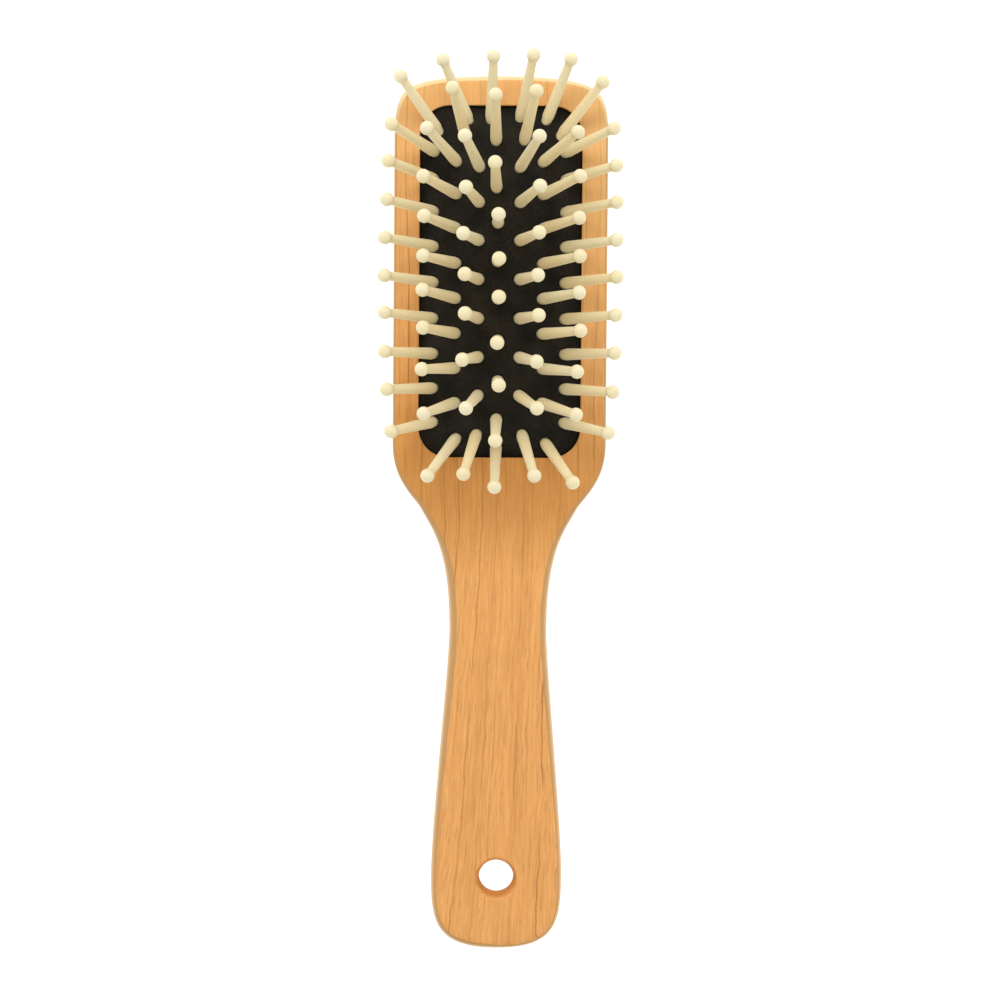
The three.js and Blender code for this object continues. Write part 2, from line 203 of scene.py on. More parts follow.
class Skin:
    """Points in mm with an edge value each, which sets how much painted edge light and shade they get, and
    the faces between them.
    """

    def __init__(self):
        self.points = []
        self.edge = []
        self.faces = []

    def add(self, points, edge=0.0):
        """Adds points and returns their numbers."""
        start = len(self.points)
        self.points.extend([tuple(p) for p in points])
        self.edge.extend([float(edge)] * len(points))
        return list(range(start, len(self.points)))

    def band(self, low, high):
        """Joins two rings of equally many points. Counter-clockwise from outside, low below high."""
        for i in range(len(low)):
            j = (i + 1) % len(low)
            self.faces.append((low[i], low[j], high[j], high[i]))

    def bands(self, rings):
        for low, high in zip(rings, rings[1:]):
            self.band(low, high)

    def cap(self, outer, up, holes=(), inside=()):
        """Fills the space between an outer ring and holes, through points inside it, as seen along z."""
        numbers = list(outer)
        edges = [(i, (i + 1) % len(outer)) for i in range(len(outer))]
        for hole in holes:
            start = len(numbers)
            numbers.extend(hole)
            edges.extend((start + i, start + (i + 1) % len(hole)) for i in range(len(hole)))
        numbers.extend(inside)
        flat = [Vector(self.points[n][:2]) for n in numbers]
        found, _, triangles, source, _, _ = delaunay_2d_cdt(flat, edges, [], 0, 1e-6)
        if len(found) != len(flat):
            raise RuntimeError("the outlines of a cap touch or cross")
        corners = np.array([[source[v][0] for v in triangle] for triangle in triangles])
        places = np.array(flat)[corners]
        wanted = inside_loops(places.mean(1), np.array(flat), np.array(edges))
        for (a, b, c), (pa, pb, pc) in zip(corners[wanted], places[wanted]):
            turn = (pb[0] - pa[0]) * (pc[1] - pa[1]) - (pb[1] - pa[1]) * (pc[0] - pa[0])
            face = (numbers[a], numbers[b], numbers[c])
            self.faces.append(face if (turn > 0) == up else face[::-1])

    def build(self, name, material, sharp):
        """Makes the object. Faces that meet at more than so many degrees keep a crease between them."""
        mesh = bpy.data.meshes.new(name)
        mesh.from_pydata([(x * MM, y * MM, z * MM) for x, y, z in self.points], [], self.faces)
        edge_shading = mesh.attributes.new("edge", "FLOAT", "POINT")
        edge_shading.data.foreach_set("value", np.array(self.edge, np.float32))
        mesh.materials.append(material)
        mesh.shade_smooth()
        mesh.set_sharp_from_angle(angle=math.radians(sharp))
        piece = bpy.data.objects.new(name, mesh)
        bpy.context.scene.collection.objects.link(piece)
        return piece


# ---- Board ----


def bezier(a, b, c, d, steps):
    """Points on a curve with their outward normals. The curve runs clockwise round the board."""
    a, b, c, d = (np.array(p, float) for p in (a, b, c, d))
    t = (np.arange(steps) / steps)[:, None]
    point = a * (1 - t) ** 3 + 3 * b * t * (1 - t) ** 2 + 3 * c * t**2 * (1 - t) + d * t**3
    along = (b - a) * (1 - t) ** 2 + 2 * (c - b) * t * (1 - t) + (d - c) * t**2
    along /= np.linalg.norm(along, axis=1)[:, None]
    return point, np.stack([-along[:, 1], along[:, 0]], 1)


def board_outline():
    """The board's outline, counter-clockwise, as points with outward normals."""
    toe = (18.8, TOE_Y - 1.4)
    side_start, side_end = (HEAD_HALF_WIDTH, TOE_Y - 14.4), (HEAD_HALF_WIDTH, -40.8)
    shoulder = (19.5, -57.3)
    neck, grip = (NECK_HALF_WIDTH, NECK_Y), (GRIP_HALF_WIDTH, GRIP_Y)
    third = (side_end[1] - side_start[1]) / 3
    side_a = (HEAD_HALF_WIDTH, side_start[1] + third)
    side_b = (HEAD_HALF_WIDTH, side_end[1] - third)
    curves = [
        ((0, TOE_Y), (6, TOE_Y), (14.5, TOE_Y - 0.3), toe, 18),
        (toe, (24.3, TOE_Y - 2.8), (HEAD_HALF_WIDTH, TOE_Y - 4.5), side_start, 36),
        (side_start, side_a, side_b, side_end, 24),
        (side_end, (HEAD_HALF_WIDTH, -50.3), (21.1, -54.3), shoulder, 24),
        (shoulder, (16.8, -62.4), (NECK_HALF_WIDTH, -67.1), neck, 28),
        (neck, (NECK_HALF_WIDTH, -97), (GRIP_HALF_WIDTH, -136.5), grip, 28),
        (grip, (GRIP_HALF_WIDTH, -161.3), (15.8, HEEL_Y), (0, HEEL_Y), 48),
    ]
    parts = [bezier(*curve) for curve in curves]
    # they run from the toe down the right side, so they are turned round here and mirrored for the left side
    points = np.concatenate([p for p, _ in parts] + [[[0, HEEL_Y]]])
    normals = np.concatenate([n for _, n in parts] + [[[0, -1]]])
    normals[0] = (0, 1)
    mirror = np.array([-1, 1])
    points = np.concatenate([points[::-1], points[1:-1] * mirror])
    normals = np.concatenate([normals[::-1], normals[1:-1] * mirror])
    return points, normals


def edge_round(y):
    """How far the long edges are rounded at each place along the board."""
    toe = HEAD_ROUND + (TOE_ROUND - HEAD_ROUND) * smooth(36, 50, y)
    return toe + (HANDLE_ROUND - toe) * smooth(42, 76, -y)


def pocket_outline(offset):
    """A rectangle with round corners, grown by an offset, counter-clockwise."""
    radius = POCKET_CORNER + offset
    cx, cy = POCKET_HALF_X - POCKET_CORNER, POCKET_HALF_Y - POCKET_CORNER
    corners = [(cx, cy), (-cx, cy), (-cx, -cy), (cx, -cy)]
    points = []
    for quarter, corner in enumerate(corners):
        for i in range(CORNER_STEPS + 1):
            a = (quarter + i / CORNER_STEPS) * math.pi / 2
            points.append((corner[0] + radius * math.cos(a), corner[1] + radius * math.sin(a)))
        following = corners[(quarter + 1) % 4]
        steps = SIDE_STEPS_Y if quarter % 2 else SIDE_STEPS_X
        start = points[-1]
        run_x, run_y = following[0] - corner[0], following[1] - corner[1]
        for i in range(1, steps):
            share = i / steps
            points.append((start[0] + run_x * share, start[1] + run_y * share))
    return np.array(points)


def at_height(outline, z):
    """The points of an outline with one height for all of them, or one for each."""
    z = np.broadcast_to(z, len(outline))
    return [(x, y, h) for (x, y), h in zip(outline, z)]


def circle(radius, y, sides):
    a = np.arange(sides) / sides * 2 * math.pi
    return np.stack([radius * np.cos(a), y + radius * np.sin(a)], 1)


def make_board(material):
    skin = Skin()
    points, normals = board_outline()
    radius = edge_round(points[:, 1])[:, None]
    angles = np.linspace(0, math.pi / 2, ROUND_STEPS + 1)

    back_flat = skin.add(at_height(points - normals * (radius + STRIP), 0.0))
    rings = [back_flat]
    for a in angles:
        ring = at_height(points - normals * radius * (1 - math.sin(a)), radius[:, 0] * (1 - math.cos(a)))
        rings.append(skin.add(ring, math.sin(a)))
    for a in angles:
        heights = THICKNESS - radius[:, 0] * (1 - math.sin(a))
        ring = at_height(points - normals * radius * (1 - math.cos(a)), heights)
        rings.append(skin.add(ring, math.cos(a)))
    front_flat = skin.add(at_height(points - normals * (radius + STRIP), THICKNESS))
    rings.append(front_flat)
    skin.bands(rings)

    # the pocket, from the front face down to its floor
    pocket = [skin.add(at_height(pocket_outline(LIP_ROUND + STRIP), THICKNESS))]
    for a in np.linspace(0, math.pi / 2, LIP_STEPS + 1):
        height = THICKNESS - LIP_ROUND * (1 - math.cos(a))
        ring = at_height(pocket_outline(LIP_ROUND * (1 - math.sin(a))), height)
        pocket.append(skin.add(ring, LIP_EDGE_SHADING * math.sin(a)))
    wall = [
        (0, GROOVE_TOP), (GROOVE_REACH, GROOVE_TOP), (GROOVE_REACH, GROOVE_BOTTOM),
        (0, GROOVE_BOTTOM), (0, POCKET_FLOOR),
    ]
    for offset, z in wall:
        pocket.append(skin.add(at_height(pocket_outline(offset), z)))
    skin.bands(pocket[::-1])
    skin.cap(pocket[-1], True)

    # the hanging hole, from the back face up to the front
    rim = circle(HOLE_RADIUS + HOLE_FLARE + STRIP, HOLE_Y, HOLE_SIDES)
    flare = [
        (HOLE_RADIUS + HOLE_FLARE * (1 - math.sin(a)), HOLE_FLARE_DEPTH * (1 - math.cos(a)))
        for a in np.linspace(0, math.pi / 2, HOLE_STEPS + 1)
    ]
    hole = [skin.add(at_height(rim, 0.0))]
    hole += [skin.add(at_height(circle(r, HOLE_Y, HOLE_SIDES), z)) for r, z in flare]
    hole += [skin.add(at_height(circle(r, HOLE_Y, HOLE_SIDES), THICKNESS - z)) for r, z in flare[::-1]]
    hole.append(skin.add(at_height(rim, THICKNESS)))
    skin.bands(hole[::-1])

    skin.cap(front_flat, True, [pocket[0], hole[-1]])
    skin.cap(back_flat, False, [hole[0]])
    return skin.build("board_wood", material, SHARP_WOOD)


# ---- Where the pins stand ----


def dome_height(x, y):
    """The height of the rubber's outer face."""
    across = 1 - np.minimum(1, np.abs(x) / DOME_HALF_X) ** DOME_POWER_X
    along = 1 - np.minimum(1, np.abs(y) / DOME_HALF_Y) ** DOME_POWER_Y
    return BEAD_TOP + DOME_HEIGHT * across * along


def scatter(x, y, salt):
    """A number from -1 to 1 that looks random but is the same each time."""
    n = math.sin(x * 12.9898 + y * 78.233 + salt * 37.719) * 43758.5453
    return 2 * (n - math.floor(n)) - 1


def lengthwise_fan(x, y):
    most, power = FAN_TOE if y > 0 else FAN_HEEL
    inwards = 1 - FAN_OUTWARD * (x / OUTER["x"]) ** 2
    lift = FAN_LIFT_PER_MM * min(abs(x), FAN_LIFT_REACH)
    return math.copysign(most, y) * abs(y / FAN_Y) ** power * inwards + lift


def sideways_fan(x, y):
    return FAN_PER_MM * (1 - FAN_FADE * (y / FAN_Y) ** FAN_FADE_POWER) * x + FAN_SIDE_BIAS


class Pin:
    """Where a pin leaves the rubber and which way it points. Its node and its body share one name."""

    def __init__(self, name, x, y, sideways=None, lengthwise=None, node=None):
        sideways = sideways_fan(x, y) if sideways is None else sideways
        lengthwise = lengthwise_fan(x, y) if lengthwise is None else lengthwise
        right = math.radians(sideways + SCATTER * scatter(x, y, 1))
        toeward = math.radians(lengthwise + SCATTER * scatter(x, y, 2))
        self.name = name
        self.node = self.body = node or name
        self.direction = Vector(
            (math.sin(right), math.cos(right) * math.sin(toeward), math.cos(right) * math.cos(toeward))
        )
        self.seat = Vector((x + PATTERN_X, y, float(dome_height(x + PATTERN_X, y))))

    def turn(self):
        return Vector((0, 0, 1)).rotation_difference(self.direction)

    def matrix(self):
        return Matrix.Translation(self.seat * MM) @ self.turn().to_matrix().to_4x4()


def column_places(x, toe, heel, count, crowd):
    """Places from the toe to the heel. The more they crowd, the closer they stand at the toe."""
    for i in range(count):
        u = i / (count - 1)
        yield x, toe + (heel - toe) * u + crowd * u * (1 - u) ** 3


def all_pins():
    pins = []
    for label, column in (("outer", OUTER), ("middle", MIDDLE), ("inner", INNER)):
        for side, sign in (("left", -1), ("right", 1)):
            for i, (x, y) in enumerate(column_places(**column)):
                name = f"pin_{side}_{label}_{i + 1}"
                pins.append(Pin(name, sign * x, y))
    for i, (x, y, sideways) in enumerate(TOE_ROW):
        pins.append(Pin(f"pin_toe_{i + 1}", x, y, sideways, TOE_ROW_FAN))
    for i, (x, y, sideways) in enumerate(TOE_SECOND_ROW):
        pins.append(Pin(f"pin_toe_second_{i + 1}", x, y, sideways, TOE_SECOND_ROW_FAN))
    for i, (x, y, toeward) in enumerate(CENTRE_COLUMN):
        pins.append(Pin(f"pin_centre_{i + 1}", x, y, 0, toeward, "pins_centre_column"))
    for i, (x, y, sideways) in enumerate(HEEL_ROW):
        pins.append(Pin(f"pin_heel_{i + 1}", x, y, sideways, HEEL_ROW_FAN, "pins_heel_row"))
    return pins


# ---- Cushion ----


def hole_ring(pin, radius, drop, sides):
    """Where a cylinder round a pin meets the rubber's outer face, or a face that lies a drop below it."""
    turn = pin.turn()
    ring = []
    for i in range(sides):
        a = i / sides * 2 * math.pi
        start = pin.seat + turn @ Vector((radius * math.cos(a), radius * math.sin(a), 0))
        run = 0.0
        for _ in range(FIT_STEPS):
            p = start + pin.direction * run
            short = float(dome_height(p.x, p.y)) - drop - p.z
            run += FIT_SHARE * short / max(LEAST_UPRIGHT, pin.direction.z)
        p = start + pin.direction * run
        ring.append((p.x, p.y, float(dome_height(p.x, p.y)) - drop))
    return ring


def nearest(points, x, y):
    """How far the nearest of the points is from a place, seen along z."""
    return np.min(np.hypot(points[:, 0] - x, points[:, 1] - y))


def grid_points(outline, rings, spacing, clear):
    """A triangular grid inside an outline, clear of it and of every ring of points."""
    keep_away = np.concatenate([np.array(outline)[:, :2]] + [np.array(r)[:, :2] for r in rings])
    found = []
    rows = int(2 * DOME_HALF_Y / (spacing * ROW_SPACING)) + 1
    half_row = int(DOME_HALF_X / spacing) + 1
    for j in range(-rows // 2, rows // 2 + 1):
        y = j * spacing * ROW_SPACING
        for i in range(-half_row, half_row + 1):
            x = (i + 0.5 * (j % 2)) * spacing
            if not in_pocket(x, y, -FIT_GAP) or nearest(keep_away, x, y) < clear:
                continue
            if any(inside(ring, x, y) for ring in rings):
                continue
            found.append((x, y))
    return found


def inside(ring, x, y):
    """Whether a ring of points goes round a place, seen along z."""
    odd = False
    for (ax, ay, *_), (bx, by, *_) in zip(ring, ring[1:] + ring[:1]):
        if (ay > y) != (by > y) and x < (bx - ax) * (y - ay) / (by - ay) + ax:
            odd = not odd
    return odd


def in_pocket(x, y, offset):
    """Whether a place is inside the pocket's outline, grown by an offset."""
    qx = max(0.0, abs(x) - (POCKET_HALF_X - POCKET_CORNER))
    qy = max(0.0, abs(y) - (POCKET_HALF_Y - POCKET_CORNER))
    return math.hypot(qx, qy) < POCKET_CORNER + offset


def clear_points(points, holes):
    """Those of the points that are inside the dome, clear of every hole and of the ones kept before."""
    kept = []
    hole_points = np.concatenate([np.array(hole)[:, :2] for hole in holes])
    for x, y, z in points:
        if not in_pocket(x, y, -FIT_GAP - COLLAR_EDGE_CLEARANCE):
            continue
        if nearest(hole_points, x, y) < COLLAR_HOLE_CLEARANCE:
            continue
        if kept and nearest(np.array(kept)[:, :2], x, y) < COLLAR_SPACING:
            continue
        if any(inside(hole, x, y) for hole in holes):
            continue
        kept.append((x, y, z))
    return kept


def make_cushion(material, pins):
    skin = Skin()
    edge = pocket_outline(-FIT_GAP)
    inner = pocket_outline(-FIT_GAP - BEAD_WIDTH)
    bead = pocket_outline(GROOVE_REACH - FIT_GAP)
    bead_flat = pocket_outline(GROOVE_REACH - FIT_GAP - BEAD_CHAMFER)
    radius = SHAFT_RADIUS + HOLE_CLEARANCE

    top_edge = skin.add(at_height(edge, BEAD_TOP + EDGE_LIFT))
    rim_lift = COLLARS[0][1] * RIM_LIFT
    top_holes = []
    collar_points = []
    for pin in pins:
        top_holes.append([(x, y, z + rim_lift) for x, y, z in hole_ring(pin, radius, 0.0, HOLE_RING_SIDES)])
        for away, lift in COLLARS:
            ring = hole_ring(pin, radius + away, 0.0, COLLAR_SIDES)
            collar_points += [(x, y, z + lift) for x, y, z in ring]
    collars = clear_points(collar_points, top_holes)
    collar_places = np.array(collars)[:, :2]
    grid = [
        (x, y) for x, y in grid_points(edge, top_holes, GRID, GRID_CLEARANCE)
        if nearest(collar_places, x, y) > GRID_CLEARANCE
    ]
    hole_numbers = [skin.add(hole) for hole in top_holes]
    inside_numbers = skin.add(collars) + skin.add([(x, y, float(dome_height(x, y))) for x, y in grid])
    skin.cap(top_edge, True, hole_numbers, inside_numbers)

    # the bead in its groove, and the underside
    under_edge = dome_height(inner[:, 0], inner[:, 1]) - RUBBER_THICKNESS
    under_edge = np.maximum(under_edge, BEAD_BOTTOM + BEAD_LEAST)
    around = [
        skin.add(at_height(inner, under_edge)),
        skin.add(at_height(inner, BEAD_BOTTOM)),
        skin.add(at_height(bead_flat, BEAD_BOTTOM)),
        skin.add(at_height(bead, BEAD_BOTTOM + BEAD_CHAMFER)),
        skin.add(at_height(bead, BEAD_TOP - BEAD_CHAMFER)),
        skin.add(at_height(bead_flat, BEAD_TOP)),
        top_edge,
    ]
    skin.bands(around)
    under_holes = [hole_ring(pin, radius, RUBBER_THICKNESS, HOLE_RING_SIDES) for pin in pins]
    under_numbers = [skin.add(hole) for hole in under_holes]
    under_grid = [
        (x, y) for x, y in grid_points(inner, under_holes, UNDER_GRID, UNDER_CLEARANCE)
        if in_pocket(x, y, -FIT_GAP - BEAD_WIDTH - UNDER_CLEARANCE)
    ]
    under_points = [(x, y, float(dome_height(x, y)) - RUBBER_THICKNESS) for x, y in under_grid]
    skin.cap(around[0], False, under_numbers, skin.add(under_points))
    for low, high in zip(under_numbers, hole_numbers):
        skin.band(high, low)
    return skin.build("air_cushion_rubber", material, SHARP_RUBBER)


# ---- Pins ----


def pin_profile():
    """Half the outline of a turned pin, from the foot to the tip, as radius and height."""
    ball = PIN_LENGTH - BALL_RADIUS
    profile = [(1.25, FOOT_END), (1.47, -4.02), (1.55, -3.85), (1.55, -3.6), (1.47, -3.45), (1.3, -3.3)]
    profile += [(1.24, -2.6), (1.26, -1.6), (1.29, -0.7), (1.36, -0.2), (1.46, 0.35)]
    profile.append((SHAFT_RADIUS, TAPER_START))
    neck_height = ball - NECK_DROP
    for share in (0.12, 0.28, 0.45, 0.62, 0.8, 1.0):
        height = TAPER_START + (neck_height - TAPER_START) * share
        profile.append((SHAFT_RADIUS + (NECK_RADIUS - SHAFT_RADIUS) * share**0.9, height))
    start = math.radians(BALL_START)
    # a fillet leads from the neck into the ball
    joint = (BALL_RADIUS * math.cos(start), ball + BALL_RADIUS * math.sin(start))
    for share in (0.35, 0.65, 0.85):
        radius = NECK_RADIUS + (joint[0] - NECK_RADIUS) * share**2.2
        profile.append((radius, neck_height + (joint[1] - neck_height) * share))
    for a in np.linspace(start, math.radians(BALL_END), 13):
        profile.append((BALL_RADIUS * math.cos(a), ball + BALL_RADIUS * math.sin(a)))
    return profile


def pin_mesh(material):
    """The one mesh that all pins share, with its origin where the pin leaves the rubber."""
    skin = Skin()
    rings = []
    for radius, height in pin_profile():
        rings.append(skin.add(at_height(circle(radius, 0, PIN_SIDES), height)))
    skin.bands(rings)
    bottom, top = skin.add([(0, 0, FOOT_END), (0, 0, PIN_LENGTH)])
    for i in range(PIN_SIDES):
        j = (i + 1) % PIN_SIDES
        skin.faces.append((rings[0][j], rings[0][i], bottom))
        skin.faces.append((rings[-1][i], rings[-1][j], top))
    piece = skin.build("pin_shape", material, SHARP_PIN)
    mesh = piece.data
    bpy.data.objects.remove(piece)
    return mesh


# ---- Materials ----


class Nodes:
    """Short ways to add nodes to a material."""

    def __init__(self, name):
        self.material = bpy.data.materials.new(name)
        self.material.use_nodes = True
        self.tree = self.material.node_tree
        self.tree.nodes.clear()
        self.shader = self.add("ShaderNodeBsdfPrincipled")
        output = self.add("ShaderNodeOutputMaterial")
        self.link(self.shader.outputs[0], output.inputs[0])

    def add(self, kind, **settings):
        node = self.tree.nodes.new(kind)
        for key, value in settings.items():
            setattr(node, key, value)
        return node

    def link(self, source, target):
        self.tree.links.new(source, target)

    def put(self, socket, value):
        """Links another node's output, or sets a plain value."""
        if isinstance(value, bpy.types.NodeSocket):
            self.link(value, socket)
        else:
            socket.default_value = value

    def math(self, operation, a, b=0.0, clamp=False):
        node = self.add("ShaderNodeMath", operation=operation, use_clamp=clamp)
        self.put(node.inputs[0], a)
        self.put(node.inputs[1], b)
        return node.outputs[0]

    def place_in_mm(self):
        """The place on the piece, in its own axes."""
        return self.mapping(self.add("ShaderNodeTexCoord").outputs["Object"], (1 / MM, 1 / MM, 1 / MM))

    def vector(self, operation, a, b):
        node = self.add("ShaderNodeVectorMath", operation=operation)
        self.put(node.inputs[0], a)
        self.put(node.inputs[1], b)
        return node.outputs[0]

    def mapping(self, vector, scale):
        node = self.add("ShaderNodeMapping")
        self.link(vector, node.inputs["Vector"])
        node.inputs["Scale"].default_value = scale
        return node.outputs[0]

    def noise(self, vector, scale=1.0, detail=2.0, roughness=0.5):
        node = self.add("ShaderNodeTexNoise")
        self.link(vector, node.inputs["Vector"])
        node.inputs["Scale"].default_value = scale
        node.inputs["Detail"].default_value = detail
        node.inputs["Roughness"].default_value = roughness
        return node.outputs[0]

    def ramp(self, value, low, high, out_low=0.0, out_high=1.0):
        """Leads softly from one output to the other between two values."""
        node = self.add("ShaderNodeMapRange", interpolation_type="SMOOTHSTEP")
        self.put(node.inputs["Value"], value)
        node.inputs["From Min"].default_value = low
        node.inputs["From Max"].default_value = high
        node.inputs["To Min"].default_value = out_low
        node.inputs["To Max"].default_value = out_high
        return node.outputs[0]

    def mix(self, share, a, b):
        node = self.add("ShaderNodeMix", data_type="RGBA")
        self.put(node.inputs[0], share)
        self.put(node.inputs[6], a)
        self.put(node.inputs[7], b)
        return node.outputs[2]

    def attribute(self, name):
        return self.add("ShaderNodeAttribute", attribute_name=name).outputs["Fac"]

    def bump(self, height, distance, strength):
        node = self.add("ShaderNodeBump")
        node.inputs["Strength"].default_value = strength
        node.inputs["Distance"].default_value = distance
        self.link(height, node.inputs["Height"])
        return node.outputs[0]

    def separate(self, vector):
        node = self.add("ShaderNodeSeparateXYZ")
        self.link(vector, node.inputs[0])
        return node.outputs

    def combine(self, x, y, z):
        node = self.add("ShaderNodeCombineXYZ")
        for socket, value in zip(node.inputs, (x, y, z)):
            self.put(socket, value)
        return node.outputs[0]

    def square(self, value):
        return self.math("MULTIPLY", value, value)

    def white(self, value):
        """A random number from 0 to 1 for each value."""
        node = self.add("ShaderNodeTexWhiteNoise", noise_dimensions="1D")
        self.put(node.inputs["W"], value)
        return node.outputs["Value"]


def colour(red, green, blue):
    """A colour given in sRGB from 0 to 255, as the shader wants it."""
    def linear(value):
        value /= 255
        return value / 12.92 if value <= 0.04045 else ((value + 0.055) / 1.055) ** 2.4
    return (linear(red), linear(green), linear(blue), 1.0)


WOOD_LIGHT = colour(240, 173, 98)
WOOD_DEEP = colour(204, 138, 72)
WOOD_LINE = colour(150, 92, 38)
# painted light on the head
WOOD_HEAD_LIT = colour(238, 192, 126)
# painted shadow between the cushion and the neck
WOOD_SHADE = colour(184, 119, 30)
WOOD_FLECK = colour(252, 204, 140)
# painted shade in the hanging hole's throat
WOOD_BORE_SHADE = colour(206, 146, 62)
# painted light and shade on the rounded edges: a highlight at the toe, shade on the handle, a paler
# reflection at the outer side and a shadow line inside
EDGE_HEAD_HIGHLIGHT = colour(238, 212, 160)
EDGE_HANDLE_SHADE = colour(192, 150, 98)
EDGE_RIM_REFLECTION = colour(222, 184, 132)
EDGE_SHADE = colour(162, 114, 54)

# Hairlines run along the grain. Each kind: spacing across, half width and usual length in mm, how much of the
# length shows, how strong they are, and a number that sets where they fall.
GROWTH_LINES = [
    (4.3, 0.25, 40.0, 0.92, 0.85, 3.0),
    (2.4, 0.19, 18.0, 0.5, 0.5, 17.0),
    (1.25, 0.17, 5.0, 0.32, 0.4, 41.0),
]
FLECKS = [(1.4, 0.17, 4.0, 0.3, 0.4, 67.0)]
RING_SLOPE = 0.8  # sideways shift of the rings for each mm of depth


def hairlines(n, across, along, spacing, half_width, length, share, strength, salt):
    """Thin lines at uneven places across the grain, which come and go along it. Lengths are in mm."""
    lane = n.math("DIVIDE", across, spacing)
    number = n.math("FLOOR", lane)
    luck = n.white(n.math("ADD", number, salt))
    # each lane has one line, which keeps clear of the lane's edges
    place = n.math("ADD", n.math("MULTIPLY", luck, 0.6), 0.2)
    away = n.math("ABSOLUTE", n.math("SUBTRACT", n.math("FRACT", lane), place))
    line = n.ramp(n.math("MULTIPLY", away, spacing), half_width * 0.2, half_width, 1.0, 0.0)
    run = n.combine(n.math("MULTIPLY", number, 7.31), n.math("DIVIDE", along, length), salt)
    shown = n.ramp(n.noise(run, detail=1.5), 0.62 - 0.3 * share, 0.74 - 0.3 * share)
    # some lanes' lines are weaker than others'
    weight = n.math("ADD", n.math("MULTIPLY", n.white(n.math("SUBTRACT", number, salt)), 0.7), 0.3)
    return n.math("MULTIPLY", n.math("MULTIPLY", line, shown), n.math("MULTIPLY", weight, strength))


def strongest(n, across, along, kinds):
    """The strongest of several kinds of hairlines at each place."""
    lines = None
    for kind in kinds:
        line = hairlines(n, across, along, *kind)
        lines = line if lines is None else n.math("MAXIMUM", lines, line)
    return lines


